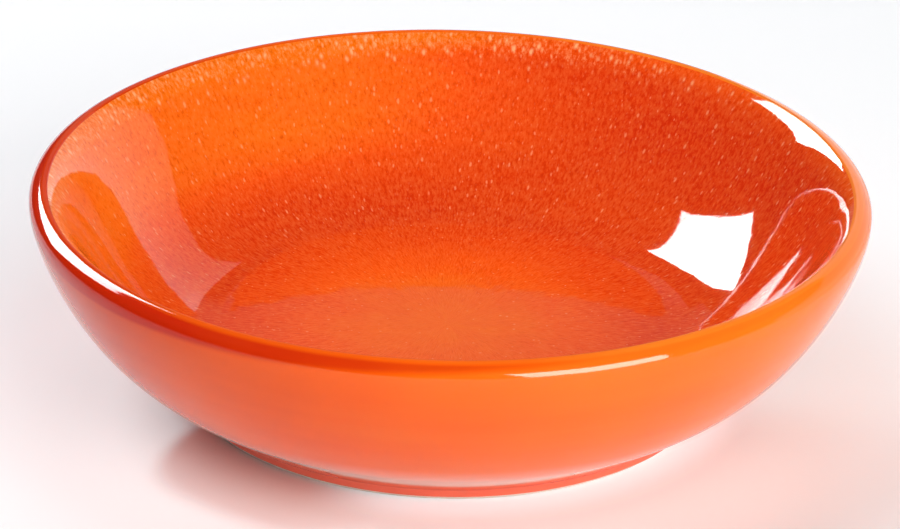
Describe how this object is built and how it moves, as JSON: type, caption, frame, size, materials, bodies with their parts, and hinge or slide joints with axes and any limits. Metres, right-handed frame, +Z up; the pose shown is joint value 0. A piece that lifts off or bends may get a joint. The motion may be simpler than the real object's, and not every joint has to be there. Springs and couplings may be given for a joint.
{
  "type": "dip dish",
  "caption": "Small round glazed stoneware dip dish: flared wall with a rounded lip, flat well and a turned foot ring with a bare standing face.",
  "frame": {"origin": "centre of the standing ring, on the surface that the dish stands on", "axes": "+Z up along the dish's axis; the dish is the same all round, so X and Y are any two level directions"},
  "size_m": [0.1, 0.1, 0.026],
  "materials": {
    "clay": "bare fired stoneware, matt",
    "liner_glaze": "clear glossy orange glaze with brushed bands and fine pale flecks",
    "outer_glaze": "smooth glossy orange glaze"
  },
  "bodies": {
    "root": {"clay_body": "clay", "liner_glaze": "liner_glaze", "outer_glaze": "outer_glaze", "base_glaze": "outer_glaze"}
  },
  "joints": []
}
